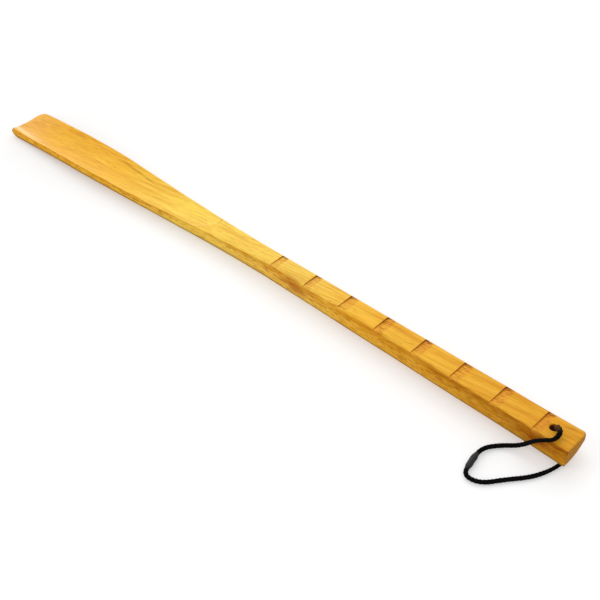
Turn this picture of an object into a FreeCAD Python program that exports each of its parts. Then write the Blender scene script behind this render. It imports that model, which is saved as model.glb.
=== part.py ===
import FreeCAD, Part
import math
import os

# Long wooden shoehorn: one carved stick with a hollowed blade and a notched handle, and a looped hanging cord.
# Millimetres. X runs along the stick from the blade's tip to the handle's end, Z is up and the table is Z = 0.
# The origin is on the table under the middle of the stick. The stick lies on its tip and on its own cord.

# Stick
LENGTH = 505.0
BLADE_WIDTH = 31.8
NECK_WIDTH = 15.8
LAST_NOTCH_WIDTH = 21.2
END_WIDTH = 22.8
HANDLE_THICKNESS = 12.4
RIM_THICKNESS = 6.6
TIP_THICKNESS = 5.0
FULL_WIDTH_LENGTH = 69.5
THIN_RIM_LENGTH = 99.5
DROOP_LENGTH = 120.0
HANDLE_EDGE = 2.3
BLADE_EDGE = 0.7
LOWER_EDGE = 1.2
END_EDGE = 2.0
TIP_CORNER = 4.0

# Scoop in the blade's upper face
SCOOP_RADIUS = 62.0
SCOOP_DEPTH = 1.5
SCOOP_FROM_NECK = 54.0

# Grip notches across the handle
NOTCH_COUNT = 8
NOTCH_PITCH = 30.0
NOTCH_DEPTH = 1.1
NOTCH_RAMP = 5.6
LAST_NOTCH_FROM_END = 25.5
NECK_BEFORE_NOTCH = 3.0

# Hole for the cord
HOLE_DIAMETER = 5.0
HOLE_FROM_END = 16.5
HOLE_EASE = 0.6

# Cord and the sleeve that joins its ends
CORD_DIAMETER = 2.4
CORD_ROOM = 2.2
CORD_END_GAP = 0.4
CORD_SEAT_GAP = 0.3
CORD_PULL_ANGLE = -28.0
ARC_SHARE = 0.45
SLEEVE_DIAMETER = 4.0
SLEEVE_LENGTH = 13.0
SLEEVE_TAPER = 3.5
SLEEVE_MOUTH_WALL = 0.2

# How finely the carved blade is lofted, and how far cutters stand clear of what they cut
BLADE_SECTION_COUNT = 10
SCOOP_SECTION_COUNT = 7
SCOOP_RUN_OUT = 22.0
CUTTER_MARGIN = 6.0
CORNER_CROSSING = 0.15

# Places along the stick
TIP_X = -LENGTH / 2
END_X = LENGTH / 2
LAST_NOTCH_X = END_X - LAST_NOTCH_FROM_END
NECK_X = LAST_NOTCH_X - (NOTCH_COUNT - 1) * NOTCH_PITCH - NECK_BEFORE_NOTCH
SCOOP_END_X = NECK_X - SCOOP_FROM_NECK
HOLE_X = END_X - HOLE_FROM_END

# Heights above the table
CORD_RADIUS = CORD_DIAMETER / 2
UNDERSIDE = CORD_DIAMETER + CORD_ROOM
HANDLE_TOP = UNDERSIDE + HANDLE_THICKNESS
HOLE_MIDDLE = (UNDERSIDE + HANDLE_TOP) / 2
SLEEVE_AXIS = SLEEVE_DIAMETER / 2

# Where the cord lies in its hole: off centre, on the side that it is pulled to
SEAT_REACH = HOLE_DIAMETER / 2 - CORD_RADIUS - CORD_SEAT_GAP
PULL = math.radians(CORD_PULL_ANGLE)
SEAT_SIDE = (SEAT_REACH * math.cos(PULL), SEAT_REACH * math.sin(PULL))


def vec(x, y, z):
    return FreeCAD.Vector(x, y, z)


def clamp(value):
    return max(0.0, min(1.0, value))


def smooth(value):
    share = clamp(value)
    return share * share * (3 - 2 * share)


def between(start, end, share):
    return start + (end - start) * share


def blade_bottom(x):
    """Height of the blade's underside, which bends down to the table at the tip."""
    bend = max(0.0, (TIP_X + DROOP_LENGTH - x) / DROOP_LENGTH)
    return UNDERSIDE * (1 - bend * bend)


def rim_top(x):
    """Height of the blade's rim, which thins quickly from the neck and then slowly to the tip."""
    thinning = clamp((NECK_X - x) / (NECK_X - TIP_X - THIN_RIM_LENGTH))
    rim = between(RIM_THICKNESS, TIP_THICKNESS, clamp((TIP_X + THIN_RIM_LENGTH - x) / THIN_RIM_LENGTH))
    thickness = between(HANDLE_THICKNESS, rim, thinning * (2 - thinning))
    return blade_bottom(x) + thickness


def bevelled_section(x, half_width, top, bottom, upper_edge, lower_edge):
    """Corners of an eight-sided cross section, seen from the handle's end."""
    side = [
        (half_width - upper_edge, top),
        (half_width, top - upper_edge),
        (half_width, bottom + lower_edge),
        (half_width - lower_edge, bottom),
    ]
    outline = side + [(-y, z) for y, z in reversed(side)]
    return [vec(x, y, z) for y, z in outline]


def blade_section(x):
    widening = smooth((NECK_X - x) / (NECK_X - TIP_X - FULL_WIDTH_LENGTH))
    half_width = between(NECK_WIDTH, BLADE_WIDTH, widening) / 2
    upper_edge = between(HANDLE_EDGE, BLADE_EDGE, widening)
    return bevelled_section(x, half_width, rim_top(x), blade_bottom(x), upper_edge, LOWER_EDGE)


def handle_section(x, width, inset=0.0):
    half_width = width / 2 - inset
    return bevelled_section(x, half_width, HANDLE_TOP - inset, UNDERSIDE + inset, HANDLE_EDGE, LOWER_EDGE)


def closed_wire(points):
    return Part.makePolygon(points + points[:1])


def flat_sided_solid(sections):
    """Solid with flat faces between corner lists of equal length."""
    faces = [Part.Face(closed_wire(sections[0])), Part.Face(closed_wire(sections[-1]))]
    for near, far in zip(sections, sections[1:]):
        for k in range(len(near)):
            n = (k + 1) % len(near)
            faces.append(Part.Face(closed_wire([near[k], near[n], far[n], far[k]])))
    solid = Part.makeSolid(Part.makeShell(faces))
    if solid.Volume < 0:
        solid.reverse()
    return solid


def evenly(start, end, count):
    return [between(start, end, k / (count - 1)) for k in range(count)]


def tip_outline():
    """Upright prism that rounds the blade's two corners, clear of the rest of the stick."""
    half = BLADE_WIDTH / 2 + CORNER_CROSSING
    straight = half - TIP_CORNER
    bow = TIP_CORNER * (1 - math.sqrt(0.5))
    back = TIP_X + TIP_CORNER
    clear = half + CUTTER_MARGIN
    low = -CUTTER_MARGIN
    end_line = Part.LineSegment(vec(TIP_X, -straight, low), vec(TIP_X, straight, low))
    edges = [end_line.toShape()]
    for side in (-1, 1):
        corner = Part.Arc(
            vec(TIP_X, side * straight, low),
            vec(TIP_X + bow, side * (half - bow), low),
            vec(back, side * half, low),
        )
        edges.append(corner.toShape())
    outer = [
        vec(back, -half, low),
        vec(back, -clear, low),
        vec(END_X, -clear, low),
        vec(END_X, clear, low),
        vec(back, clear, low),
        vec(back, half, low),
    ]
    edges += [Part.makeLine(a, b) for a, b in zip(outer, outer[1:])]
    outline = Part.Wire(Part.__sortEdges__(edges))
    return Part.Face(outline).extrude(vec(0, 0, HANDLE_TOP + 2 * CUTTER_MARGIN))


def scoop_section(x):
    """Round cutter section, whose lowest point is the scoop's depth below the rim."""
    share = (SCOOP_END_X - x) / (SCOOP_END_X - TIP_X)
    depth = SCOOP_DEPTH * share * (2 - share)
    lowest = rim_top(x) - depth
    chord = rim_top(x) + CUTTER_MARGIN / 2
    rise = chord - lowest
    reach = math.sqrt(SCOOP_RADIUS**2 - (SCOOP_RADIUS - rise) ** 2)
    left = vec(x, -reach, chord)
    right = vec(x, reach, chord)
    arc = Part.Arc(left, vec(x, 0, lowest), right)
    return Part.Wire([arc.toShape(), Part.makeLine(right, left)])


def notch_cutter(x):
    """Wedge with an upright wall towards the blade and a floor that climbs towards the handle's end."""
    floor = HANDLE_TOP - NOTCH_DEPTH
    reach = NOTCH_RAMP + CUTTER_MARGIN
    roof = floor + NOTCH_DEPTH / NOTCH_RAMP * reach
    profile = [vec(x, -END_WIDTH, floor), vec(x + reach, -END_WIDTH, roof), vec(x, -END_WIDTH, roof)]
    return Part.Face(closed_wire(profile)).extrude(vec(0, 2 * END_WIDTH, 0))


def cord_hole():
    """Upright hole with eased mouths."""
    radius = HOLE_DIAMETER / 2
    low = vec(HOLE_X, 0, UNDERSIDE - CUTTER_MARGIN)
    drill = Part.makeCylinder(radius, HANDLE_THICKNESS + 2 * CUTTER_MARGIN, low)
    wide = radius + 2 * HOLE_EASE
    upper = Part.makeCone(radius, wide, 2 * HOLE_EASE, vec(HOLE_X, 0, HANDLE_TOP - HOLE_EASE))
    lower = Part.makeCone(wide, radius, 2 * HOLE_EASE, vec(HOLE_X, 0, UNDERSIDE - HOLE_EASE))
    return drill.fuse([upper, lower])


def shoehorn_body():
    handle = flat_sided_solid(
        [
            handle_section(NECK_X, NECK_WIDTH),
            handle_section(LAST_NOTCH_X, LAST_NOTCH_WIDTH),
            handle_section(END_X - END_EDGE, END_WIDTH),
            handle_section(END_X, END_WIDTH, END_EDGE),
        ]
    )
    notches = [notch_cutter(LAST_NOTCH_X - k * NOTCH_PITCH) for k in range(NOTCH_COUNT)]
    handle = handle.cut(notches).cut(cord_hole())

    blade = Part.makeLoft([closed_wire(blade_section(x)) for x in evenly(NECK_X, TIP_X, BLADE_SECTION_COUNT)], True)
    stations = evenly(SCOOP_END_X + SCOOP_RUN_OUT, TIP_X - CUTTER_MARGIN, SCOOP_SECTION_COUNT)
    scoop = Part.makeLoft([scoop_section(x) for x in stations], True)
    blade = blade.cut(scoop).common(tip_outline())
    return handle.fuse(blade)


def cord_route():
    """Points of the cord from the middle of the hole, out over the handle's edge, round the loop and back."""
    top = HANDLE_TOP
    table = CORD_RADIUS
    seat_x, seat_y = SEAT_SIDE
    offsets = [
        (seat_x, seat_y, HOLE_MIDDLE + CORD_END_GAP / 2),
        (seat_x, seat_y, top + 2.8),
        (8.4, -4.7, top + 4.2),
        (6.4, -13.2, top + 3.4),
        (-2.4, -15.6, top - 1.6),
        (-11.8, -14.6, table + 2.0),
        (-21.5, -20.0, table),
        (-27.7, -29.6, SLEEVE_AXIS),
        (-23.5, -52.6, SLEEVE_AXIS),
        (-12.9, -50.8, table),
        (-4.1, -38.8, table),
        (5.9, -27.2, table),
        (11.3, -15.0, table),
        (12.8, -4.2, table),
        (9.4, 0.6, table),
        (seat_x, seat_y, table + 1.0),
        (seat_x, seat_y, HOLE_MIDDLE - CORD_END_GAP / 2),
    ]
    return [vec(HOLE_X + x, y, z) for x, y, z in offsets]


def rounded_path(points):
    """Straight runs joined by tangent arcs, each as large as its two runs allow."""
    edges = []
    radii = []
    start = points[0]
    for before, corner, after in zip(points, points[1:], points[2:]):
        back = before - corner
        ahead = after - corner
        trim = ARC_SHARE * min(back.Length, ahead.Length)
        half_turn = (math.pi - back.getAngle(ahead)) / 2
        radius = trim / math.tan(half_turn)
        back.normalize()
        ahead.normalize()
        enter = corner + back * trim
        leave = corner + ahead * trim
        inward = (back + ahead).normalize()
        middle = corner + inward * (radius / math.cos(half_turn) - radius)
        edges.append(Part.LineSegment(start, enter).toShape())
        edges.append(Part.Arc(enter, middle, leave).toShape())
        radii.append(radius)
        start = leave
    edges.append(Part.LineSegment(start, points[-1]).toShape())
    return Part.Wire(edges), radii


def hang_cord():
    route = cord_route()
    path, radii = rounded_path(route)
    section = Part.Wire(Part.makeCircle(CORD_RADIUS, route[0], route[1] - route[0]))
    cord = path.makePipeShell([section], True)
    straight_volume = math.pi * CORD_RADIUS**2 * path.Length
    print("cord length %.1f, volume %.1f against %.1f" % (path.Length, cord.Volume, straight_volume))
    print("cord radii", " ".join("%.1f" % r for r in radii))
    return cord


def cord_splice_sleeve():
    """Spindle-shaped sleeve on the cord's one run at the sleeve's height, where its ends are joined."""
    start, end = [point for point in cord_route() if point.z == SLEEVE_AXIS]
    along = (end - start).normalize()
    middle = (start + end) * 0.5
    half = SLEEVE_LENGTH / 2
    mouth = CORD_RADIUS + SLEEVE_MOUTH_WALL
    body = SLEEVE_DIAMETER / 2
    profile = [
        vec(CORD_RADIUS, 0, -half),
        vec(mouth, 0, -half),
        vec(body, 0, -half + SLEEVE_TAPER),
        vec(body, 0, half - SLEEVE_TAPER),
        vec(mouth, 0, half),
        vec(CORD_RADIUS, 0, half),
    ]
    sleeve = Part.Face(closed_wire(profile)).revolve(vec(0, 0, 0), vec(0, 0, 1), 360)
    sleeve.Placement = FreeCAD.Placement(middle, FreeCAD.Rotation(vec(0, 0, 1), along))
    return sleeve


def main():
    os.makedirs("parts", exist_ok=True)
    for make in (shoehorn_body, hang_cord, cord_splice_sleeve):
        shape = make()
        print(make.__name__, "solids", len(shape.Solids), "valid", shape.isValid(), "volume %.1f" % shape.Volume)
        shape.exportStep("parts/%s.step" % make.__name__)


main()
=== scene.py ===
import math

import bmesh
import bpy
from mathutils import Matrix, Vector, noise


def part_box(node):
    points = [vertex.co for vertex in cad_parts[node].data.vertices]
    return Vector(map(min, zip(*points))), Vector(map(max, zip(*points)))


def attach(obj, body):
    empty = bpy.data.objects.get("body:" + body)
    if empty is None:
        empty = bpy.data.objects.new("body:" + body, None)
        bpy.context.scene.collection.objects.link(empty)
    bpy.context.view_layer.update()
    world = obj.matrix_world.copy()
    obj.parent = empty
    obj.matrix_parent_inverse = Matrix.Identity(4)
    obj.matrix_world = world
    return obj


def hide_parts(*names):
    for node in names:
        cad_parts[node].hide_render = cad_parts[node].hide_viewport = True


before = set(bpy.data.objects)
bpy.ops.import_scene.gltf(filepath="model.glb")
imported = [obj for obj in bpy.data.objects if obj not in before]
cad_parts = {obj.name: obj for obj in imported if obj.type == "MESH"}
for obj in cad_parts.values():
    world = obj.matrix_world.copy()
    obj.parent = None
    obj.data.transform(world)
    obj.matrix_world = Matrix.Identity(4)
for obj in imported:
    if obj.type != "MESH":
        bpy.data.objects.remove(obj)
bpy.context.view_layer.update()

MM = 0.001

# The stick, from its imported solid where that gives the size
wood_low, wood_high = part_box("shoehorn_body")
TIP_X = wood_low.x
END_X = wood_high.x
HANDLE_TOP = wood_high.z
HANDLE_THICKNESS = 12.4 * MM
UNDERSIDE = HANDLE_TOP - HANDLE_THICKNESS
RIM_THICKNESS = 6.6 * MM
TIP_THICKNESS = 5.0 * MM
BLADE_HALF = 15.9 * MM
NECK_HALF = 7.9 * MM
LAST_NOTCH_HALF = 10.6 * MM
END_HALF = 11.4 * MM
END_CROWN = 0.2 * MM
FACE_X = END_X - END_CROWN
FULL_WIDTH_LENGTH = 69.5 * MM
THIN_RIM_LENGTH = 99.5 * MM
DROOP_LENGTH = 120 * MM
NECK_SOFTNESS = 0.05
LARGEST_POWER = 60

# Edges of the stick. A limit is the largest share of a face that its edge may take.
HANDLE_BEVEL = 2.3 * MM
BLADE_BEVEL = 0.45 * MM
BEVEL_FADE_START = 26 * MM
BEVEL_FADE_LENGTH = 110 * MM
FOOT_EASE = 0.5 * MM
FOOT_LIMIT = 0.3
FOOT_TRIM_SHARE = 0.4
CRISP_TRIM = 0.35 * MM
CRISP_LIMIT = 0.3
SOFT_TRIM = 0.8 * MM
SOFT_LIMIT = 0.4
NECK_ROUND = 2.4 * MM
NECK_ROUND_LIMIT = 0.49
NECK_ROUND_X = -36 * MM
NECK_ROUND_REACH = 62 * MM
HAND_WAVE = 0.12 * MM
HAND_WAVES_PER_MM = 0.045

# The tip of the blade
TIP_NEAR_CORNER = 0.9 * MM
TIP_FAR_CORNER = 7.5 * MM
TIP_SET_BACK = 2.0 * MM
TIP_SET_BACK_LENGTH = 30 * MM
TIP_SET_BACK_FALL = 2.2
NEAR_RIM_RISE = 1.2 * MM
NEAR_FLARE = 1.0 * MM
NEAR_FLARE_LENGTH = 150 * MM
PROW_LENGTH = 4.5 * MM
PROW_RISE = 1.6 * MM
BOW_LENGTH = 9 * MM
BOW_RISE = 3.0 * MM
BOW_SHARE = 0.35

# The end of the handle
END_EASE = 0.9 * MM
END_NEAR_CORNER = 1.1 * MM
END_FAR_CORNER = 3.5 * MM
END_UNDERCUT = 6.0 * MM
END_UNDERCUT_LENGTH = 12 * MM

# The scoop
SCOOP_RADIUS = 62 * MM
SCOOP_DEPTH = 2.6 * MM
SCOOP_LEAST_DEPTH = 0.001 * MM
SCOOP_LIP = 0.85 * MM
SCOOP_LIP_RUN = 11 * MM
SCOOP_SOFTNESS = 0.03 * MM
SCOOP_SHIFT = 7.0 * MM
SCOOP_SHIFT_LENGTH = 130 * MM
SCOOP_NEAR_RIM = 0.6 * MM
SCOOP_FAR_RIM = 1.6 * MM
SCOOP_SLANT = 0.45
SCOOP_SLANT_START = 60 * MM
SCOOP_SLANT_FULL = 15 * MM

# The grip notches
NOTCH_COUNT = 8
NOTCH_PITCH = 30 * MM
NOTCH_DEPTH = 1.1 * MM
FIRST_NOTCH_DEPTH = 0.8 * MM
NEAR_NOTCH_SHARE = 0.45
NOTCH_RAMP = 5.6 * MM
NOTCH_WALL = 0.10 * MM
LAST_NOTCH_X = END_X - 25.5 * MM
NECK_X = LAST_NOTCH_X - (NOTCH_COUNT - 1) * NOTCH_PITCH - 3 * MM
SCOOP_END_X = NECK_X - 57.5 * MM
NOTCH_PLACES = [LAST_NOTCH_X - index * NOTCH_PITCH for index in range(NOTCH_COUNT)]

# Torn fibres and chips on the floors of the notches, with lumps for each millimetre along and across
TEAR_DEPTH = 0.16 * MM
TEAR_MARGIN = 0.1
FIBRES_ALONG = 0.25
FIBRES_ACROSS = 1.6
FIBRE_SHARE = 0.7
CHIPS_ALONG = 0.45
CHIPS_ACROSS = 0.7
CHIP_SHARE = 1.6
CHIP_LEVEL = 0.15

# The hole for the cord
HOLE_X = END_X - 16.5 * MM
HOLE_RADIUS = 2.5 * MM
HOLE_EASE = 0.8 * MM
HOLE_PATCH = 3.6 * MM

# How finely the stick's surface is divided, and how near to each other two rings may stand
TOP_POINTS = 41
SIDE_STEP = 3 * MM
EDGE_STEPS = 4
BEVEL_STEPS = 4
FLANK_STEPS = 5
FOOT_STEPS = 3
PATCH_CELLS = 18
PATCH_MARGIN = 0.3 * MM
MOUTH_PARTS = (0.25, 0.5, 0.75)
MOUTH_STEPS = 5
BORE_STEPS = 8
CORNER_DEGREES = 6
NEAR_CORNER_STEPS = 6
SCOOP_END_RINGS = 45
SCOOP_END_AHEAD = 8
SCOOP_END_RINGS_PER_MM = 2
NOTCH_LEAD = 0.45 * MM
RAMP_STEPS = 14
RING_GAP = 0.05 * MM
RING_GAP_AT_WALL = 0.02 * MM
SHARP_ANGLE = math.radians(38)

# The cord: a round braid that is stout on its arch, full in its loop and tight in the hole
STRAND_TURN = 9.4 * MM
STRANDS_EACH_WAY = 4
STRAND_STEP = 0.32 * MM
STRAND_CORNERS = 8
STRAND_MIDDLE = 0.82 * MM
STRAND_WEAVE = 0.22 * MM
STRAND_HALF_WIDTH = 0.60 * MM
STRAND_HALF_THICKNESS = 0.28 * MM
ARCH_STOUT = 1.45
ARCH_STOP = 15 * MM
ARCH_FADE_STOP = 22 * MM
LOOP_EXTRA = 0.20
LOOP_START = 30 * MM
LOOP_FULL = 40 * MM
IN_HOLE_STOUT = 0.65
IN_HOLE_STOP = 7.0 * MM
IN_HOLE_FADE_STOP = 12 * MM
CORD_LUMP = 0.08
CORD_LUMPS_PER_MM = 0.4

# The sleeve on the cord
SLEEVE_LENGTH = 15 * MM
SLEEVE_RADIUS = 2.0 * MM
SLEEVE_END_RADIUS = 1.28 * MM
SLEEVE_TAPER = 0.3
SLEEVE_STEP = 0.16 * MM
SLEEVE_CORNERS = 28
SLEEVE_LUMP = 0.14 * MM
SLEEVE_LUMPS_PER_MM = 0.35
WRAP_PITCH = 1.5 * MM
WRAP_DEPTH = 0.16 * MM

# The photograph's camera, with its angles in degrees
CAMERA_PLACE = (0.4483, -0.4433, 0.5395)
CAMERA_DOWN = 42.1
CAMERA_TURN = 42.8
CAMERA_LENS = 73.2
SENSOR_WIDTH = 36.0


def between(start, stop, part):
    """The value that lies the given part of the way from start to stop."""
    return start + (stop - start) * part


def share(value, start, stop):
    """How far value has come from start to stop, held between 0 and 1."""
    return min(max((value - start) / (stop - start), 0.0), 1.0)


def smooth(part):
    """A part from 0 to 1, eased at both ends."""
    return part * part * (3 - 2 * part)


def at_tip(x, length):
    """1 at the blade's tip, falling to 0 at that length behind it."""
    return 1 - share(x, TIP_X, TIP_X + length)


def quarter_round(distance, radius):
    """How far a rounded corner stands back, a distance before the face that it meets."""
    if distance >= radius:
        return 0.0
    return radius - math.sqrt(radius**2 - (radius - max(distance, 0.0)) ** 2)


def droop(x):
    """Height of the stick's line underneath, which bends down to the table towards the tip."""
    return UNDERSIDE * (1 - at_tip(x, DROOP_LENGTH) ** 2)


def blade_bottom(x):
    """Height of the underside, which is sanded up at the very tip."""
    return droop(x) + PROW_RISE * at_tip(x, PROW_LENGTH) ** 2


def rim_top(x):
    """Height of the flat top on the handle, and of the rim on the blade."""
    run = (NECK_X - x) / (NECK_X - TIP_X - THIN_RIM_LENGTH)
    run = min(NECK_SOFTNESS * math.log1p(math.exp(min(run / NECK_SOFTNESS, LARGEST_POWER))), 1.0)
    rim = between(TIP_THICKNESS, RIM_THICKNESS, share(x, TIP_X, TIP_X + THIN_RIM_LENGTH))
    return droop(x) + between(HANDLE_THICKNESS, rim, run * (2 - run))


def widening(x):
    """0 on the handle, 1 where the blade has its full width."""
    return smooth(share(x, NECK_X, TIP_X + FULL_WIDTH_LENGTH))


def half_width(x):
    """Half of the stick's width."""
    if x > LAST_NOTCH_X:
        return between(LAST_NOTCH_HALF, END_HALF, share(x, LAST_NOTCH_X, END_X))
    if x > NECK_X:
        return between(NECK_HALF, LAST_NOTCH_HALF, share(x, NECK_X, LAST_NOTCH_X))
    return between(NECK_HALF, BLADE_HALF, widening(x))


def undercut(x, part):
    """How far the end's underside is sanded off, from its near side (0) to its far side (1)."""
    return END_UNDERCUT * part**3 * share(x, FACE_X - END_UNDERCUT_LENGTH, FACE_X) ** 2


def bow(x, part):
    """How far the tip's underside is sanded up towards its near corner, where part is 0."""
    inward = max(1 - part / BOW_SHARE, 0.0) ** 2
    return BOW_RISE * inward * at_tip(x, BOW_LENGTH) ** 2


def edge_bevel(x):
    """Size of the bevel along the top edge, which fades out past the neck."""
    start = NECK_X + BEVEL_FADE_START
    return between(HANDLE_BEVEL, BLADE_BEVEL, smooth(share(x, start, start - BEVEL_FADE_LENGTH)))


def neck_round(x):
    """1 where the neck's top edge is rolled over by sanding, 0 where the edge is crisp."""
    return smooth(1 - min(abs(x - NECK_ROUND_X) / NECK_ROUND_REACH, 1.0))


def near_rise(x):
    """How much higher the near rim stands than the far one, towards the tip."""
    return NEAR_RIM_RISE * at_tip(x, THIN_RIM_LENGTH) ** 2


def scoop_reach(x):
    """The scoop's lowest line, its depth there and its half widths on the near and far side."""
    run = SCOOP_END_X - x
    lip = SCOOP_LIP * (1 - (1 - share(run, 0, SCOOP_LIP_RUN)) ** 2)
    rest = share(run, 0, SCOOP_END_X - TIP_X)
    depth = lip + (SCOOP_DEPTH - SCOOP_LIP) * rest * (2 - rest)
    chord = math.sqrt(2 * SCOOP_RADIUS * max(depth, SCOOP_LEAST_DEPTH))
    tip = at_tip(x, SCOOP_SHIFT_LENGTH) ** 2
    lowest = -SCOOP_SHIFT * tip
    near = between(chord, half_width(x) - SCOOP_NEAR_RIM + lowest, tip)
    far = between(chord, half_width(x) - SCOOP_FAR_RIM - lowest, tip)
    return lowest, depth, near, far


def slanted(x, y):
    """Where x lies along a scoop whose end runs out askew, later on its far side."""
    ending = share(x, SCOOP_END_X - SCOOP_SLANT_START, SCOOP_END_X - SCOOP_SLANT_FULL)
    return x - SCOOP_SLANT * y * ending


def scoop_drop(x, y):
    """How far the hollowed face of the blade lies below its rim."""
    x = slanted(x, y)
    if x > SCOOP_END_X:
        return 0.0
    lowest, depth, near, far = scoop_reach(x)
    side = far if y > lowest else near
    drop = depth * (1 - ((y - lowest) / side) ** 2)
    return (drop + math.sqrt(drop**2 + SCOOP_SOFTNESS**2)) / 2


def notch_drop(x):
    """Depth of the grip notch at x: an upright wall, then a ramp back to the top."""
    for place in NOTCH_PLACES:
        run = x - place
        if 0 < run < NOTCH_RAMP:
            depth = FIRST_NOTCH_DEPTH if place == NOTCH_PLACES[-1] else NOTCH_DEPTH
            return depth * (1 - run / NOTCH_RAMP)
    return 0.0


def torn_grain(x, y):
    """Roughness of a notch's floor, where the chisel tore the fibres."""
    fibres = noise.noise(Vector((x / MM * FIBRES_ALONG, y / MM * FIBRES_ACROSS, 3.0)))
    chips = noise.noise(Vector((x / MM * CHIPS_ALONG, y / MM * CHIPS_ACROSS, 9.0)))
    return TEAR_DEPTH * (FIBRE_SHARE * fibres + CHIP_SHARE * max(chips - CHIP_LEVEL, 0))


def hand_wave(x, seed):
    """The small unevenness that hand sanding leaves along an edge."""
    return HAND_WAVE * noise.noise(Vector((x / MM * HAND_WAVES_PER_MM, seed, 0.5)))


def bend(corner, before, after, trim, steps):
    """Points that round a corner of the section, in place of the corner itself."""
    first = corner + (before - corner).normalized() * trim
    last = corner + (after - corner).normalized() * trim
    points = []
    for step in range(steps + 1):
        part = step / steps
        points.append(first.lerp(corner, part).lerp(corner.lerp(last, part), part))
    return points


def side_points(half, top, bottom, bevel, foot, rolled, flare=0.0):
    """One side of the section, from the flat top round the bevel and down to the underside."""
    inner = Vector((0, top))
    edge = Vector((half - bevel, top))
    shoulder = Vector((half, top - bevel))
    ankle = Vector((half + flare, bottom + foot))
    sole = Vector((half + flare - foot, bottom))
    under = Vector((0, bottom))
    slope = (shoulder - edge).length
    roll = min(NECK_ROUND, NECK_ROUND_LIMIT * slope)
    crisp = between(min(CRISP_TRIM, CRISP_LIMIT * slope), roll, rolled)
    soft = between(min(SOFT_TRIM, SOFT_LIMIT * slope), roll, rolled)
    points = bend(edge, inner, shoulder, crisp, EDGE_STEPS)
    low = bend(shoulder, edge, ankle, soft, EDGE_STEPS)
    points += [points[-1].lerp(low[0], step / BEVEL_STEPS) for step in range(1, BEVEL_STEPS)]
    points += low
    foot_trim = FOOT_TRIM_SHARE * foot
    turn = bend(ankle, shoulder, sole, foot_trim, FOOT_STEPS)
    points += [low[-1].lerp(turn[0], step / FLANK_STEPS) for step in range(1, FLANK_STEPS)]
    points += turn
    points += bend(sole, ankle, under, foot_trim, FOOT_STEPS)
    return points


# Points of one side, counted from the flat top: the bevel, where the bevel takes a painted shade band,
# the upright face, the lower edge with its painted contact shadow, and all that a notch cuts into
BEVEL_POINTS = range(6, 12)
SHOULDER_POINTS = range(5, 10)
FLANK_POINTS = range(12, 17)
FOOT_POINTS = range(17, 21)
NICK_POINTS = range(0, 8)

# How strongly those places show in the finish
# The sides' mark falls from top to bottom, so that its painted shade darkens the upper sides more than
# the lower
FLANK_TOP = 1.1
FLANK_LOW = 0.6
# The painted contact shadow of the lower edge also takes the point above it on the blade and on the
# neck, this strongly
FOOT_ON_BLADE = 0.6
FOOT_ON_NECK = 0.4
NEAR_FLOOR = 0.6
NEAR_WALL = 0.5
NEAR_WALL_TOP = 0.55
NICK_GAIN = 1.6
NICK_START = 0.84
NICK_FULL = 0.95

# Darker places on the stick: middle, reach along the stick and across it, all in millimetres
STAINS = [
    ((36, -8.0, 14.0), 10, 4.2),
    ((42, -8.4, 10.5), 9, 3.4),
    ((-200, 13.0, 7.0), 6, 2.6),
    ((232.6, 0.8, 17.0), 1.7, 1.7),
    # The last three make the upper near side darker towards the handle's end, round where the cord
    # crosses the edge
    ((223, -11.1, 12.0), 9, 2.6),
    ((231, -11.2, 12.2), 9, 2.6),
    ((240, -11.3, 12.4), 10, 2.4),
]

# The darker near corner of the tip
HORN = Vector((TIP_X + TIP_SET_BACK, -BLADE_HALF, TIP_THICKNESS + NEAR_RIM_RISE))
HORN_REACH = 1.3 * MM

# A painted shade line inside the far rim, where the scoop's slope turns, with the parts of its run
# where it fades in and out
RIM_LINE_START = Vector((-154, 10.8)) * MM
RIM_LINE_STOP = Vector((-113, 7.2)) * MM
RIM_LINE_WIDTH = 0.8 * MM
RIM_LINE_FADE_IN = (-0.15, 0.3)
RIM_LINE_FADE_OUT = (1.15, 0.8)

# Painted shade along the crease at the scoop's end
CREASE_WIDTH = 1.0 * MM
CREASE_START = 9 * MM
CREASE_FULL = 2 * MM
CREASE_STRENGTH = 0.6


def stain(place):
    """How much a point lies in one of the wood's darker places."""
    total = 0.0
    for (x, y, z), along, across in STAINS:
        lengthwise = (place.x / MM - x) / along
        sideways = math.hypot(place.y / MM - y, place.z / MM - z) / across
        total += math.exp(-lengthwise**2 - sideways**2)
    return total


def rim_line(x, y):
    """The painted shade line inside the far rim."""
    run = (x - RIM_LINE_START.x) / (RIM_LINE_STOP.x - RIM_LINE_START.x)
    aside = (y - between(RIM_LINE_START.y, RIM_LINE_STOP.y, run)) / RIM_LINE_WIDTH
    ends = smooth(share(run, *RIM_LINE_FADE_IN)) * smooth(share(run, *RIM_LINE_FADE_OUT))
    return ends * math.exp(-aside**2)


def crease(x, y):
    """The painted shade line where the scoop runs out at its end."""
    x = slanted(x, y)
    if x > SCOOP_END_X:
        return 0.0
    lowest, _, _, far = scoop_reach(x)
    aside = (abs(y - lowest) - far) / CREASE_WIDTH
    ending = share(x, SCOOP_END_X - CREASE_START, SCOOP_END_X - CREASE_FULL)
    return CREASE_STRENGTH * ending * math.exp(-aside**2)


def on_stop_wall(x):
    """True for the rings at the top and foot of a notch's upright wall."""
    return any(-1.5 * NOTCH_WALL < x - place < 0.5 * NOTCH_WALL for place in NOTCH_PLACES)


def nicked(cut):
    """How far a notch of that depth darkens the edge that it cuts."""
    return min(NICK_GAIN * cut / NOTCH_DEPTH, 1.0)


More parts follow.
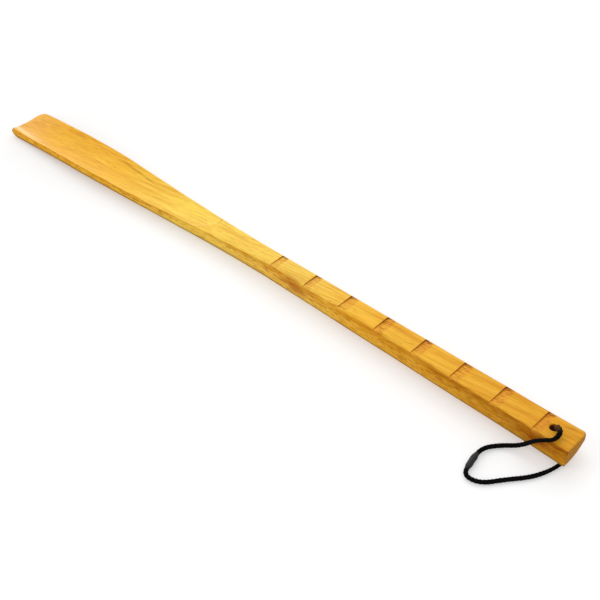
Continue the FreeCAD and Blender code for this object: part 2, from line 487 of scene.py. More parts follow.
def side_marks(x, number, cut, on_far):
    """What the finish has to know of a point on one side of the stick."""
    marks = {}
    marks["bevel"] = float(number in BEVEL_POINTS)
    marks["shoulder"] = float(number in SHOULDER_POINTS)
    if number in FLANK_POINTS:
        down = share(number, FLANK_POINTS.start, FLANK_POINTS.stop - 1)
        marks["flank"] = between(FLANK_TOP, FLANK_LOW, down)
    # The foot mark carries the painted contact shadow along the lower edge
    marks["foot"] = float(number in FOOT_POINTS)
    if number == FOOT_POINTS.start - 1:
        marks["foot"] = max(FOOT_ON_BLADE * widening(x), FOOT_ON_NECK * neck_round(x))
    if number in NICK_POINTS:
        marks["notch_floor"] = (1.0 if on_far else NEAR_FLOOR) * float(cut > 0)
        marks["stop_cut"] = on_stop_wall(x) * (1.0 if on_far else NEAR_WALL)
        marks["nick"] = on_far * nicked(cut)
    return marks


def top_marks(x, y, part, cut):
    """What the finish has to know of a point on the stick's top."""
    return {
        "notch_floor": between(NEAR_FLOOR, 1.0, part) * float(cut > 0),
        "stop_cut": on_stop_wall(x) * between(NEAR_WALL_TOP, 1.0, part),
        "nick": share(part, NICK_START, NICK_FULL) * nicked(cut),
        "rim_line": max(rim_line(x, y), crease(x, y)),
    }


def wood_section(x):
    """The ring of points round the stick at x, each with what the finish has to know of it."""
    cut = notch_drop(x)
    near_cut = cut * NEAR_NOTCH_SHARE
    end_gap = FACE_X - x
    tip_gap = x - TIP_X
    ease = quarter_round(end_gap, END_EASE)
    half = half_width(x)
    far = half - quarter_round(end_gap, END_FAR_CORNER) - quarter_round(tip_gap, TIP_FAR_CORNER)
    near = half - quarter_round(end_gap, END_NEAR_CORNER) - quarter_round(tip_gap, TIP_NEAR_CORNER)
    far += hand_wave(x, 1.0)
    near += hand_wave(x, 2.0)
    far_rim = rim_top(x) - ease - cut
    near_rim = rim_top(x) - ease - near_cut + near_rise(x)
    bottom = blade_bottom(x) + ease
    far_bevel = edge_bevel(x) - cut + hand_wave(x, 3.0)
    near_bevel = edge_bevel(x) - near_cut + hand_wave(x, 4.0)
    far_top = far_rim - scoop_drop(x, far - far_bevel)
    near_top = near_rim - scoop_drop(x, near_bevel - near)
    foot = min(FOOT_EASE, FOOT_LIMIT * (far_top - bottom))
    rolled = neck_round(x)
    flare = NEAR_FLARE * at_tip(x, NEAR_FLARE_LENGTH)
    far_side = side_points(far, far_top, bottom + undercut(x, 1.0), far_bevel, foot, rolled)
    near_side = side_points(near, near_top, bottom + bow(x, 0.0), near_bevel, foot, rolled, flare)
    set_back = TIP_SET_BACK * at_tip(x, TIP_SET_BACK_LENGTH)
    ring = []

    def add(part, y, z, marks):
        place = Vector((x + set_back * max(1 - TIP_SET_BACK_FALL * part, 0) ** 2, y, z))
        marks["stain"] = stain(place)
        marks["scuff"] = math.exp(-(((place - HORN).length / HORN_REACH) ** 2))
        ring.append((place, marks))

    for index in range(TOP_POINTS):
        part = index / (TOP_POINTS - 1)
        y = between(-near_side[0].x, far_side[0].x, part)
        z = between(near_rim, far_rim, part) - scoop_drop(x, y)
        if cut:
            z -= torn_grain(x, y) * smooth(min(part, 1 - part, TEAR_MARGIN) / TEAR_MARGIN)
        add(part, y, z, top_marks(x, y, part, cut))
    for number, point in list(enumerate(far_side))[1:-1]:
        add(1.0, point.x, point.y, side_marks(x, number, cut, True))
    for index in range(TOP_POINTS):
        part = 1 - index / (TOP_POINTS - 1)
        y = between(-near_side[-1].x, far_side[-1].x, part)
        add(part, y, bottom + undercut(x, part) + bow(x, part), {})
    for number, point in reversed(list(enumerate(near_side))[1:-1]):
        add(0.0, -point.x, point.y, side_marks(x, number, cut, False))
    return ring


def wood_stations():
    """Where the rings stand along the stick: close together at the tip, notches, hole and end."""
    steps = int((FACE_X - TIP_X) / SIDE_STEP)
    stations = [between(TIP_X, FACE_X, step / steps) for step in range(steps + 1)]
    for step in range(90 // CORNER_DEGREES + 1):
        turn = 1 - math.cos(math.radians(CORNER_DEGREES * step))
        stations += [TIP_X + TIP_FAR_CORNER * turn, FACE_X - END_FAR_CORNER * turn]
    for step in range(1, NEAR_CORNER_STEPS):
        stations.append(TIP_X + TIP_NEAR_CORNER * step / NEAR_CORNER_STEPS)
        stations.append(FACE_X - END_NEAR_CORNER * step / NEAR_CORNER_STEPS)
    for step in range(SCOOP_END_RINGS):
        stations.append(SCOOP_END_X + (SCOOP_END_AHEAD - step / SCOOP_END_RINGS_PER_MM) * MM)
    for place in NOTCH_PLACES:
        stations += [place - NOTCH_LEAD, place - NOTCH_WALL, place + NOTCH_WALL / 20]
        stations += [place + NOTCH_RAMP * step / RAMP_STEPS for step in range(1, RAMP_STEPS + 1)]
    patch = [HOLE_X + HOLE_PATCH * (2 * step / PATCH_CELLS - 1) for step in range(PATCH_CELLS + 1)]
    before_patch = patch[0] - PATCH_MARGIN
    after_patch = patch[-1] + PATCH_MARGIN
    stations = [x for x in stations if not before_patch < x < after_patch]
    stations = sorted(stations + patch)
    kept = [stations[0]]
    for x in stations[1:]:
        near_wall = any(abs(x - place) < 2 * NOTCH_WALL for place in NOTCH_PLACES)
        if x - kept[-1] > (RING_GAP_AT_WALL if near_wall else RING_GAP):
            kept.append(x)
    return kept, patch


def add_quad(bm, first, second, index):
    """One face between two rows of points."""
    after = (index + 1) % len(first)
    bm.faces.new((first[index], first[after], second[after], second[index]))


def mesh_piece(name, bm):
    """A smooth object from a mesh that has been built up."""
    bmesh.ops.recalc_face_normals(bm, faces=bm.faces)
    mesh = bpy.data.meshes.new(name)
    bm.to_mesh(mesh)
    bm.free()
    mesh.shade_smooth()
    piece = bpy.data.objects.new(name, mesh)
    bpy.context.scene.collection.objects.link(piece)
    return piece


MARKS = (
    "notch_floor",
    "stop_cut",
    "nick",
    "bore",
    "bevel",
    "shoulder",
    "flank",
    "foot",
    "end_grain",
    "rim_line",
    "stain",
    "scuff",
)


class WoodMesh:
    """The stick's surface as it is made, ring by ring, with what the finish has to know of it."""

    def __init__(self):
        self.bm = bmesh.new()
        self.marks = {name: [] for name in MARKS}

    def point(self, place, **marks):
        """A new point; the marks that aren't given are 0."""
        for name, values in self.marks.items():
            values.append(marks.get(name, 0.0))
        return self.bm.verts.new(place)

    def strip(self, first, second, closed=True):
        """Quads between two rows of points."""
        count = len(first) if closed else len(first) - 1
        for index in range(count):
            add_quad(self.bm, first, second, index)

    def piece(self, name):
        """The finished object, with its marks stored at its points."""
        piece = mesh_piece(name, self.bm)
        for mark, values in self.marks.items():
            piece.data.attributes.new(mark, "FLOAT", "POINT").data.foreach_set("value", values)
        piece.data.set_sharp_from_angle(angle=SHARP_ANGLE)
        return piece


def close_end(wood, ring, crown):
    """Closes the stick's end with a net of quads, pushed out by crown in its middle."""
    top = ring[:TOP_POINTS]
    rows = (len(ring) - 2 * TOP_POINTS) // 2
    far = ring[TOP_POINTS:TOP_POINTS + rows]
    bottom = list(reversed(ring[TOP_POINTS + rows:2 * TOP_POINTS + rows]))
    near = list(reversed(ring[2 * TOP_POINTS + rows:]))
    last_row = top
    for row in range(rows):
        down = (top[0].co.z - near[row].co.z) / (top[0].co.z - bottom[0].co.z)
        new_row = [near[row]]
        for column in range(1, TOP_POINTS - 1):
            part = column / (TOP_POINTS - 1)
            upright = top[column].co.lerp(bottom[column].co, down)
            level = near[row].co.lerp(far[row].co, part)
            upper = top[0].co.lerp(top[-1].co, part)
            lower = bottom[0].co.lerp(bottom[-1].co, part)
            place = upright + level - upper.lerp(lower, down)
            dome = 4 * part * (1 - part) * 4 * down * (1 - down)
            place.x += crown * dome
            new_row.append(wood.point(place, end_grain=1.0))
        new_row.append(far[row])
        wood.strip(last_row, new_row, closed=False)
        last_row = new_row
    wood.strip(last_row, bottom, closed=False)


def drill_hole(wood, top_loop, bottom_loop):
    """The round hole between a square opening in the top and one in the underside."""
    turns = [math.atan2(corner.co.y, corner.co.x - HOLE_X) for corner in top_loop]

    def round_place(radius, turn, height):
        return Vector((HOLE_X + radius * math.cos(turn), radius * math.sin(turn), height))

    def round_row(radius, height, depth):
        return [wood.point(round_place(radius, turn, height), bore=depth) for turn in turns]

    def mouth(loop, level, sign):
        rows = []
        for part in MOUTH_PARTS:
            row = []
            for corner, turn in zip(loop, turns):
                place = corner.co.lerp(round_place(HOLE_RADIUS + HOLE_EASE, turn, level), part)
                row.append(wood.point(place, stain=stain(place)))
            rows.append(row)
        for step in range(MOUTH_STEPS):
            tilt = math.radians(90 * step / (MOUTH_STEPS - 1))
            radius = HOLE_RADIUS + HOLE_EASE * (1 - math.sin(tilt))
            height = level - sign * HOLE_EASE * (1 - math.cos(tilt))
            rows.append(round_row(radius, height, step / MOUTH_STEPS))
        return rows

    rows = [top_loop] + mouth(top_loop, HANDLE_TOP, 1)
    lower = mouth(bottom_loop, UNDERSIDE, -1)
    for step in range(1, BORE_STEPS):
        height = between(HANDLE_TOP - HOLE_EASE, UNDERSIDE + HOLE_EASE, step / BORE_STEPS)
        rows.append(round_row(HOLE_RADIUS, height, 1.0))
    rows += list(reversed(lower)) + [bottom_loop]
    for first, second in zip(rows, rows[1:]):
        wood.strip(first, second)


def make_stick():
    """The whole wooden stick as one smooth closed mesh."""
    wood = WoodMesh()
    stations, patch = wood_stations()
    rings = []
    for x in stations:
        rings.append([wood.point(place, **marks) for place, marks in wood_section(x)])
    first = stations.index(patch[0])
    last = stations.index(patch[-1])
    count = len(rings[0])
    sides = (count - 2 * TOP_POINTS) // 2
    low = (TOP_POINTS - 1 - PATCH_CELLS) // 2
    high = low + PATCH_CELLS
    under = 2 * TOP_POINTS + sides - 1
    for row in range(len(rings) - 1):
        over_hole = first <= row < last
        for index in range(count):
            if over_hole and (low <= index < high or low <= under - 1 - index < high):
                continue
            add_quad(wood.bm, rings[row], rings[row + 1], index)
    around = [(row, low) for row in range(first, last)]
    around += [(last, column) for column in range(low, high)]
    around += [(row, high) for row in range(last, first, -1)]
    around += [(first, column) for column in range(high, low, -1)]
    top_loop = [rings[row][column] for row, column in around]
    bottom_loop = [rings[row][under - column] for row, column in around]
    drill_hole(wood, top_loop, bottom_loop)
    close_end(wood, rings[0], 0.0)
    close_end(wood, rings[-1], END_CROWN)
    return wood.piece("wooden_stick")


# The cord's route, in millimetres from the hole's middle: up out of the hole,
# over the handle's near edge, round on the table and back into the hole from below
TABLE = 1.58 * MM
SEAT = (0.883, -0.469)
ROUTE = [
    (*SEAT, HANDLE_TOP / MM - 6.0),
    (*SEAT, HANDLE_TOP / MM + 3.5),
    (6.8, -3.6, HANDLE_TOP / MM + 4.6),
    (7.0, -9.8, HANDLE_TOP / MM + 2.6),
    (2.4, -13.0, HANDLE_TOP / MM + 1.6),
    (-3.2, -14.5, HANDLE_TOP / MM - 1.9),
    (-11.6, -14.2, TABLE / MM + 2.4),
    (-21.5, -20.0, TABLE / MM),
    (-27.7, -29.6, TABLE / MM + 0.8),
    (-26.0, -42.0, TABLE / MM + 0.8),
    (-23.5, -52.6, TABLE / MM + 0.4),
    (-12.9, -50.8, TABLE / MM),
    (-4.1, -38.8, TABLE / MM),
    (5.9, -27.2, TABLE / MM),
    (11.3, -15.0, TABLE / MM),
    (12.8, -4.2, TABLE / MM - 0.2),
    (9.4, 0.6, TABLE / MM - 0.3),
    (*SEAT, TABLE / MM + 0.2),
    (*SEAT, HANDLE_TOP / MM - 6.4),
]


def cord_line():
    """Points along the cord's smooth line, read from its spline."""
    curve = bpy.data.curves.new("cord_route", "CURVE")
    curve.dimensions = "3D"
    curve.resolution_u = 32
    spline = curve.splines.new("NURBS")
    spline.points.add(len(ROUTE) - 1)
    for point, (x, y, z) in zip(spline.points, ROUTE):
        point.co = (HOLE_X + x * MM, y * MM, z * MM, 1.0)
    spline.order_u = 3
    spline.use_endpoint_u = True
    holder = bpy.data.objects.new("cord_route", curve)
    bpy.context.scene.collection.objects.link(holder)
    mesh = bpy.data.meshes.new_from_object(holder)
    line = [vertex.co.copy() for vertex in mesh.vertices]
    bpy.data.objects.remove(holder)
    bpy.data.curves.remove(curve)
    bpy.data.meshes.remove(mesh)
    return line


class Line:
    """A smooth line that can be walked by length, with a steady pair of side directions."""

    PROBE = 0.2 * MM
    FIRST_SIDE = Vector((0.3, 0.8, 0.1))

    def __init__(self, points):
        self.points = points
        self.distances = [0.0]
        for before, after in zip(points, points[1:]):
            self.distances.append(self.distances[-1] + (after - before).length)
        self.length = self.distances[-1]

    def place(self, distance):
        """The point that far along the line."""
        distance = min(max(distance, 0.0), self.length)
        low, high = 0, len(self.distances) - 1
        while high - low > 1:
            middle = (low + high) // 2
            if self.distances[middle] <= distance:
                low = middle
            else:
                high = middle
        part = (distance - self.distances[low]) / (self.distances[high] - self.distances[low])
        return self.points[low].lerp(self.points[high], part)

    def walk(self, start, stop, step):
        """Places with their direction and two side directions that don't twist."""
        count = max(int((stop - start) / step), 2)
        side = None
        stops = []
        for index in range(count + 1):
            distance = between(start, stop, index / count)
            ahead = self.place(distance + self.PROBE) - self.place(distance - self.PROBE)
            ahead.normalize()
            if side is None:
                side = ahead.cross(self.FIRST_SIDE)
            side = (side - ahead * side.dot(ahead)).normalized()
            stops.append((distance, self.place(distance), ahead, side, ahead.cross(side)))
        return stops


def add_tube(bm, rings):
    """Joins rings of places into a tube that is closed at both ends."""
    rows = [[bm.verts.new(place) for place in ring] for ring in rings]
    for first, second in zip(rows, rows[1:]):
        for index in range(len(first)):
            add_quad(bm, first, second, index)
    bm.faces.new(rows[0])
    bm.faces.new(rows[-1])


def stoutness(distance, length):
    """How far the braid spreads at that distance along the cord, where 1 is its plain size."""
    lump = noise.noise(Vector((distance / MM * CORD_LUMPS_PER_MM, 2.0, 5.0)))
    from_end = min(distance, length - distance)
    stout = between(ARCH_STOUT, 1.0, share(distance, ARCH_STOP, ARCH_FADE_STOP)) + CORD_LUMP * lump
    stout += LOOP_EXTRA * share(from_end, LOOP_START, LOOP_FULL)
    return stout * between(IN_HOLE_STOUT, 1.0, smooth(share(from_end, IN_HOLE_STOP, IN_HOLE_FADE_STOP)))


def make_cord(line):
    """A round braid: strands that wind both ways, each over one and under the next."""
    bm = bmesh.new()
    stops = line.walk(0, line.length, STRAND_STEP)
    for way in (1, -1):
        for strand in range(STRANDS_EACH_WAY):
            start = strand * math.tau / STRANDS_EACH_WAY
            rings = []
            for distance, place, ahead, side, up in stops:
                turn = start + way * math.tau * distance / STRAND_TURN
                out = side * math.cos(turn) + up * math.sin(turn)
                round_way = up * math.cos(turn) - side * math.sin(turn)
                lean = (ahead * STRAND_TURN + round_way * way * math.tau * STRAND_MIDDLE).normalized()
                across = lean.cross(out).normalized()
                reach = STRAND_MIDDLE + way * STRAND_WEAVE * math.cos(STRANDS_EACH_WAY * turn)
                centre = place + out * (reach * stoutness(distance, line.length))
                ring = []
                for corner in range(STRAND_CORNERS):
                    angle = corner * math.tau / STRAND_CORNERS
                    sideways = across * STRAND_HALF_WIDTH * math.cos(angle)
                    ring.append(centre + sideways + out * STRAND_HALF_THICKNESS * math.sin(angle))
                rings.append(ring)
            add_tube(bm, rings)
    return mesh_piece("braided_cord", bm)


def make_sleeve(line, middle):
    """The wrapped joint of the cord: a tight spindle that narrows to the cord at both ends."""
    bm = bmesh.new()
    start = middle - SLEEVE_LENGTH / 2
    rings = []
    for distance, place, _, side, up in line.walk(start, start + SLEEVE_LENGTH, SLEEVE_STEP):
        run = (distance - start) / SLEEVE_LENGTH
        swell = smooth(min(run, 1 - run, SLEEVE_TAPER) / SLEEVE_TAPER)
        radius = between(SLEEVE_END_RADIUS, SLEEVE_RADIUS, swell)
        ring = []
        for corner in range(SLEEVE_CORNERS):
            angle = corner * math.tau / SLEEVE_CORNERS
            out = side * math.cos(angle) + up * math.sin(angle)
            wrap = (distance / WRAP_PITCH + corner / SLEEVE_CORNERS) % 1.0
            along = distance / MM * SLEEVE_LUMPS_PER_MM
            lump = noise.noise(Vector((along, math.cos(angle), math.sin(angle))))
            reach = radius + WRAP_DEPTH * swell * (wrap - 0.5)
            ring.append(place + out * (reach + SLEEVE_LUMP * swell * lump))
        rings.append(ring)
    add_tube(bm, rings)
    return mesh_piece("splice_sleeve", bm)


class Wire:
    """An output of a shader node, which Python's own operators turn into Math nodes."""

    def __init__(self, finish, socket):
        self.finish = finish
        self.socket = socket

    def other(self, name):
        """Another output of the same node."""
        return Wire(self.finish, self.socket.node.outputs[name])

    def _math(self, operation, first, second):
        return self.finish.add("Math", {"operation": operation}, {0: first, 1: second})

    def __add__(self, value):
        return self._math("ADD", self, value)

    def __sub__(self, value):
        return self._math("SUBTRACT", self, value)

    def __rsub__(self, value):
        return self._math("SUBTRACT", value, self)

    def __mul__(self, value):
        return self._math("MULTIPLY", self, value)

    def __truediv__(self, value):
        return self._math("DIVIDE", self, value)

    __radd__ = __add__
    __rmul__ = __mul__


class Finish:
    """The node tree of a material or of the world while it is made."""

    def __init__(self, owner):
        owner.use_nodes = True
        self.owner = owner
        self.tree = owner.node_tree
        self.tree.nodes.clear()

    def add(self, kind, settings=None, sockets=None, out=0):
        """One node: its type, its settings, then the values or links of its sockets."""
        node = self.tree.nodes.new("ShaderNode" + kind)
        for name, value in (settings or {}).items():
            if name == "stops":
                self.set_stops(node.color_ramp, value)
            else:
                setattr(node, name, value)
        for key, value in (sockets or {}).items():
            if isinstance(value, Wire):
                self.tree.links.new(value.socket, node.inputs[key])
            else:
                node.inputs[key].default_value = value
        return Wire(self, node.outputs[out]) if node.outputs else None

    @staticmethod
    def set_stops(ramp, stops):
        """The places and colours of a ramp."""
        while len(ramp.elements) < len(stops):
            ramp.elements.new(1.0)
        for element, (place, paint) in zip(ramp.elements, stops):
            element.position = place
            element.color = paint

    def mark(self, name):
        """A value that the mesh carries at each of its points."""
        return self.add("Attribute", {"attribute_name": name}, out="Fac")

    def step(self, value, low, high):
        """0 before low, 1 past high and smooth between, where high may also be the lower of the two."""
        sockets = {"Value": value, "From Min": low, "From Max": high}
        return self.add("MapRange", {"interpolation_type": "SMOOTHSTEP"}, sockets)

    def mix(self, first, second, part):
        """Two colours mixed by a part from 0 to 1."""
        return self.add("Mix", {"data_type": "RGBA"}, {0: part, 6: first, 7: second}, out=2)

    def vector(self, x, y, z):
        """A vector from three values."""
        return self.add("CombineXYZ", None, {0: x, 1: y, 2: z})

    def scaled(self, vector, times):
        """A vector multiplied by a number."""
        return self.add("VectorMath", {"operation": "SCALE"}, {0: vector, "Scale": times})

    def grains(self, place, detail, roughness=0.5):
        """Soft noise with lumps of one unit."""
        sockets = {"Vector": place, "Scale": 1.0, "Detail": detail, "Roughness": roughness}
        return self.add("TexNoise", {"noise_dimensions": "3D"}, sockets)

    def surface(self, shine):
        """Ends a material with one shader that has these sockets, and gives the material."""
        shader = self.add("BsdfPrincipled", None, shine)
        self.add("OutputMaterial", None, {"Surface": shader})
        return self.owner


def tint(red, green, blue):
    """A colour given in screen values from 0 to 255."""
    linear = []
    for value in (red, green, blue):
        part = value / 255
        linear.append(part / 12.92 if part <= 0.04045 else ((part + 0.055) / 1.055) ** 2.4)
    return (*linear, 1.0)


def grey(value):
    """A grey given as a share of white light."""
    return (value, value, value, 1)


# The wood's ground colour from the tip to the handle's end, partly its own tone and partly painted
# light that is lightest through the middle, the lean of its grain, and in millimetres how far the grain
# wanders and how long the shinier tip is
HONEY_STOPS = [
    (0.0, tint(236, 170, 34)),
    (0.22, tint(246, 188, 48)),
    (0.36, tint(254, 216, 84)),
    (0.58, tint(255, 212, 88)),
    (0.68, tint(252, 192, 56)),
    (1.0, tint(234, 165, 30)),
]
GRAIN_LEAN = math.radians(6)
GRAIN_WANDER = 9
SHINY_TIP = 45


def lacquered_wood():
    """Honey-coloured wood with long grain under clear lacquer, browner and rough in the notches."""
    wood = Finish(bpy.data.materials.new("lacquered_wood"))
    x = wood.add("SeparateXYZ", None, {0: wood.add("TexCoord", out="Object")}, out="X")
    along_stick = x / MM
    across_stick = x.other("Y") / MM
    up = x.other("Z") / MM
    along = along_stick * math.cos(GRAIN_LEAN) + across_stick * math.sin(GRAIN_LEAN)
    straight = across_stick * math.cos(GRAIN_LEAN) - along_stick * math.sin(GRAIN_LEAN)
    wander = wood.grains(wood.vector(along / 90, straight / 14, up / 14), 2.0)
    across = straight + (wander - 0.5) * GRAIN_WANDER

    def figure(length, width, height, detail, roughness):
        """Grain with lumps of these sizes in millimetres."""
        return wood.grains(wood.vector(along / length, across / width, up / height), detail, roughness)

    broad = figure(55, 4.0, 4.0, 3.0, 0.55)
    fine = figure(22, 1.3, 1.3, 4.0, 0.6)
    lines = figure(46, 0.6, 0.6, 2.0, 0.5)
    pores = figure(8, 0.75, 0.75, 2.0, 0.5)
    speckle = figure(3.4, 0.8, 0.8, 3.0, 0.6)
    mottle = figure(6, 1.8, 1.5, 3.0, 0.6)

    bevel = wood.mark("bevel")
    flank = wood.mark("flank")
    floor = wood.mark("notch_floor")
    end = wood.mark("end_grain")
    handle = wood.step(along_stick, -20, 60)
    tip = 1 - wood.step(along_stick, TIP_X / MM, TIP_X / MM + SHINY_TIP)
    # Painted shade on the bevels and sides, growing from the neck to the handle's end
    shaded = (bevel + 0.8 * flank) * wood.step(along_stick, 60, 260)
    # Painted shade: a dark band along the bevel's shoulder, broken up by the grain and deepest at the
    # handle's end
    painted_light_mask = wood.mark("shoulder") * wood.step(along_stick, 90, 190)
    shoulder_shade_strength = 0.15 + 0.35 * wood.step(fine, 0.35, 0.65) + 0.25 * wood.step(along_stick, 225, 245)
    patchy = wood.step(fine, 0.25, 0.60)
    raw = wood.mix(tint(232, 148, 60), tint(180, 92, 26), wood.step(speckle, 0.46, 0.66))
    torn = 0.22 + 0.38 * wood.step(fine, 0.35, 0.6) + 0.12 * wood.step(along_stick, 60, 140)

    run = (along_stick - TIP_X / MM) / ((END_X - TIP_X) / MM)
    # The ground colour along the stick: the wood's own tone with painted light, lightest through the
    # middle
    honey = wood.add("ValToRGB", {"stops": HONEY_STOPS}, {"Fac": run})
    amber = wood.mix(honey, tint(220, 136, 6), 0.45)
    layers = [
        # Broad bands, streaks, pores, and thin dark and pale lines
        (amber, wood.step(broad, 0.42, 0.70)),
        (tint(196, 112, 8), wood.step(fine, 0.52, 0.70) * (0.32 + 0.3 * flank)),
        (tint(150, 80, 8), wood.step(pores, 0.58, 0.70) * (0.28 + 0.36 * flank)),
        (tint(178, 98, 4), wood.step(lines, 0.50, 0.68) * (0.20 + 0.20 * handle)),
        (tint(255, 214, 96), wood.step(lines, 0.50, 0.34) * 0.25 * (1 - flank)),
        # The upright sides, which are mottled, and darker towards the top as painted shade
        (tint(206, 128, 14), flank * 0.2),
        (tint(146, 84, 6), flank * wood.step(mottle, 0.50, 0.64) * 0.5),
        (tint(250, 200, 92), flank * wood.step(mottle, 0.46, 0.34) * 0.45),
        # The bevels and sides darkened by painted shade, the painted shade band along the bevel's
        # shoulder, and the painted contact shadow along the lower edges
        # The bevel's darker colour is painted shade, broken up by the grain
        (tint(196, 118, 0), bevel * (0.25 + 0.5 * wood.step(fine, 0.3, 0.65))),
        (tint(126, 68, 0), shaded * 0.45),
        (tint(140, 68, 0), painted_light_mask * shoulder_shade_strength),
        (tint(92, 66, 34), wood.mark("foot") * 0.75),
        # Stains, and the painted shade lines inside the far rim and at the scoop's end on the blade
        (tint(168, 78, 2), wood.mark("stain") * patchy * 0.6),
        (tint(180, 110, 8), wood.mark("rim_line") * (0.2 + 0.6 * patchy)),
        # The raw floors of the notches with their chips and fibres, and the edges that they cut
        (raw, floor * torn),
        (tint(140, 72, 16), floor * wood.step(speckle, 0.58, 0.68) * 0.6),
        (tint(146, 78, 18), floor * wood.step(lines, 0.50, 0.62) * 0.4),
        (tint(120, 56, 8), wood.mark("nick") * wood.step(speckle, 0.3, 0.55) * 0.85),
        # The notch walls: darker, partly painted shade on the wall and partly their burnished cut
        (tint(166, 96, 22), wood.mark("stop_cut") * 0.8),
        # The hole, the tip's darker corner, and the end
        (tint(132, 56, 4), wood.mark("bore")),
        (tint(96, 84, 60), wood.mark("scuff") * 0.8),
        (tint(160, 100, 10), end * (0.6 + 0.4 * wood.step(speckle, 0.4, 0.7))),
    ]
    colour = honey
    for paint, part in layers:
        colour = wood.mix(colour, paint, part)

    height = fine * 0.5 + pores * -0.6 + floor * speckle * 1.5
    bump = wood.add("Bump", None, {"Strength": 0.12, "Distance": 0.2 * MM, "Height": height})
    lacquer = (0.12 + 0.26 * tip) * (1 - 0.8 * floor)
    shine = {
        "Base Color": colour,
        "Roughness": 0.42 + 0.12 * broad + 0.25 * floor,
        "Specular IOR Level": 0.03,
        "Coat Weight": lacquer * (1 - 0.9 * (bevel + end)) * (1 - 0.7 * flank),
        "Coat Roughness": 0.19,
        "Normal": bump,
    }
    return wood.surface(shine)


# Where the cord gets a painted brown highlight, at the top of its arch
ARCH_TOP = (HOLE_X + 3.4 * MM, -1.6 * MM, HANDLE_TOP + 4.2 * MM)
ARCH_HIGHLIGHT = 2.2 * MM
ARCH_HIGHLIGHT_FADE = 5.0 * MM


def black_cord():
    """Black braided yarn, dull, with fine fibres, and a painted brown highlight at the top of its arch.
    """
    cord = Finish(bpy.data.materials.new("black_cord"))
    place = cord.add("TexCoord", out="Object")
    fibre = cord.grains(cord.scaled(place, 3.2 / MM), 4.0, 0.65)
    colour = cord.mix(tint(0, 0, 0), tint(6, 5, 5), cord.step(fibre, 0.35, 0.75))
    far = cord.add("VectorMath", {"operation": "DISTANCE"}, {0: place, 1: ARCH_TOP}, out="Value")
    # Painted highlight: lighter brown on the top of the arch, broken up by the fibres
    painted_light_mask = cord.step(far, ARCH_HIGHLIGHT_FADE, ARCH_HIGHLIGHT) * (0.4 + 0.6 * cord.step(fibre, 0.30, 0.60))
    shine = {
        "Base Color": cord.mix(colour, tint(104, 74, 42), painted_light_mask * 0.85),
        "Roughness": 0.55 + 0.25 * fibre,
        "Specular IOR Level": 0.06,
        "Normal": cord.add("Bump", None, {"Strength": 0.4, "Distance": 0.1 * MM, "Height": fibre}),
    }
    return cord.surface(shine)


def dark_sleeve():
    """Dark grey shrunk sleeve, a little shinier than the cord."""
    sleeve = Finish(bpy.data.materials.new("dark_sleeve"))
    place = sleeve.add("TexCoord", out="Object")
    cloud = sleeve.grains(sleeve.scaled(place, 1.1 / MM), 4.0, 0.6)
    shine = {
        "Base Color": sleeve.mix(tint(8, 8, 9), tint(30, 29, 30), sleeve.step(cloud, 0.35, 0.7)),
        "Roughness": 0.38 + 0.2 * cloud,
        "Specular IOR Level": 0.3,
        "Normal": sleeve.add("Bump", None, {"Strength": 0.3, "Distance": 0.15 * MM, "Height": cloud}),
    }
    return sleeve.surface(shine)


def seen_directly(finish):
    """1 where the camera, a reflection or clear glass looks, 0 for light that bounces."""
    camera = finish.add("LightPath", out="Is Camera Ray")
    return camera + camera.other("Is Glossy Ray") + camera.other("Is Transmission Ray")


# The floor: its glow beside the handle and beside the blade, how much of the light it shows,
# and the distances in metres over which the glow changes along the stick and goes over to white
FLOOR_REACH = 6.0
FLOOR_GLOW = 0.39
FLOOR_GLOW_BLADE = 0.28
FLOOR_SHADE = 0.70
FLOOR_TEETH_PER_METRE = 900.0
BLADE_GLOW_SPAN = (-0.05, -0.24)
WHITE_SPAN = (0.4, 1.3)


def studio_floor():
    """White paper floor that keeps the shadow and reads as white where nothing shades it."""
    paper = Finish(bpy.data.materials.new("studio_floor"))
    place = paper.add("TexCoord", out="Object")
    tooth = paper.grains(paper.scaled(place, FLOOR_TEETH_PER_METRE), 3.0)
    matte = paper.add("BsdfDiffuse", None, {"Color": paper.mix(grey(0.82), grey(0.84), tooth)})
    veil = paper.add("BsdfDiffuse", None, {"Color": grey(FLOOR_SHADE)})
    distance = paper.add("VectorMath", {"operation": "LENGTH"}, {0: place}, out="Value")
    along = paper.add("SeparateXYZ", None, {0: place}, out="X")
    # Less glow beside the blade: painted shade that deepens the blade's shadow on the floor
    shine = paper.mix(grey(FLOOR_GLOW), grey(FLOOR_GLOW_BLADE), paper.step(along, *BLADE_GLOW_SPAN))
    shine = paper.mix(shine, grey(1), paper.step(distance, *WHITE_SPAN))
    glow = paper.add("Emission", None, {"Color": shine, "Strength": 1.0})
    lit = paper.add("AddShader", None, {0: veil, 1: glow})
    surface = paper.add("MixShader", None, {0: seen_directly(paper), 1: matte, 2: lit})
    paper.add("OutputMaterial", None, {"Surface": surface})
    return paper.owner


def make_floor():
    """A wide sheet that the stick lies on."""
    mesh = bpy.data.meshes.new("studio_floor")
    corners = [(FLOOR_REACH * x, FLOOR_REACH * y, 0) for x, y in ((-1, -1), (1, -1), (1, 1), (-1, 1))]
    mesh.from_pydata(corners, [], [(0, 1, 2, 3)])
    floor = bpy.data.objects.new("studio_floor", mesh)
    mesh.materials.append(studio_floor())
    bpy.context.scene.collection.objects.link(floor)


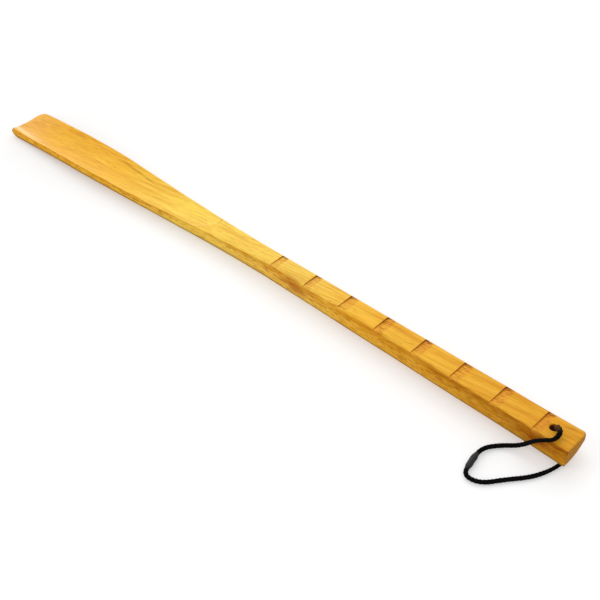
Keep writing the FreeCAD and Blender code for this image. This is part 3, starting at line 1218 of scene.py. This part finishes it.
def make_lamp(name, place, width, height, power):
    """A soft lamp that faces the stick's middle."""
    light = bpy.data.lights.new(name, "AREA")
    light.shape = "RECTANGLE"
    light.size = width
    light.size_y = height
    light.energy = power
    lamp = bpy.data.objects.new(name, light)
    lamp.location = place
    lamp.rotation_euler = (-Vector(place)).to_track_quat("-Z", "Y").to_euler()
    bpy.context.scene.collection.objects.link(lamp)


def make_world(strength):
    """Even light from all round, white where the camera sees it."""
    world = bpy.data.worlds.new("studio_world")
    bpy.context.scene.world = world
    sky = Finish(world)
    light = sky.add("Background", None, {"Color": grey(1), "Strength": strength})
    seen = sky.add("Background", None, {"Color": grey(1), "Strength": 1.0})
    surface = sky.add("MixShader", None, {0: seen_directly(sky), 1: light, 2: seen})
    sky.add("OutputWorld", None, {"Surface": surface})


def make_camera():
    """The photograph's camera: above and before the handle's end, looking down across the stick."""
    camera = bpy.data.cameras.new("camera")
    camera.lens = CAMERA_LENS
    camera.sensor_width = SENSOR_WIDTH
    camera.clip_start = 0.01
    holder = bpy.data.objects.new("camera", camera)
    holder.location = CAMERA_PLACE
    holder.rotation_euler = (math.radians(90 - CAMERA_DOWN), 0, math.radians(CAMERA_TURN))
    bpy.context.scene.collection.objects.link(holder)
    bpy.context.scene.camera = holder


def dress():
    """Makes every piece and says what it is."""
    stick = make_stick()
    stick.data.materials.append(lacquered_wood())
    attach(stick, "stick")
    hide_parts("shoehorn_body")

    line = Line(cord_line())
    cord = make_cord(line)
    cord.data.materials.append(black_cord())
    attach(cord, "cord_loop")
    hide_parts("hang_cord")

    sleeve_low, sleeve_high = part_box("cord_splice_sleeve")
    sleeve_middle = (sleeve_low + sleeve_high) / 2
    away = [(point - sleeve_middle).length for point in line.points]
    sleeve = make_sleeve(line, line.distances[away.index(min(away))])
    sleeve.data.materials.append(dark_sleeve())
    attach(sleeve, "cord_loop")
    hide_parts("cord_splice_sleeve")


dress()
make_floor()
make_lamp("window", (-1.35, 1.45, 1.45), width=3.2, height=3.2, power=34)
make_lamp("low_strip", (-1.85, 1.5, 0.36), width=1.4, height=0.3, power=7)
make_lamp("front_fill", (-0.9, -1.5, 0.9), width=1.4, height=1.4, power=9)
make_world(strength=0.67)
make_camera()
bpy.context.scene.view_settings.view_transform = "Standard"
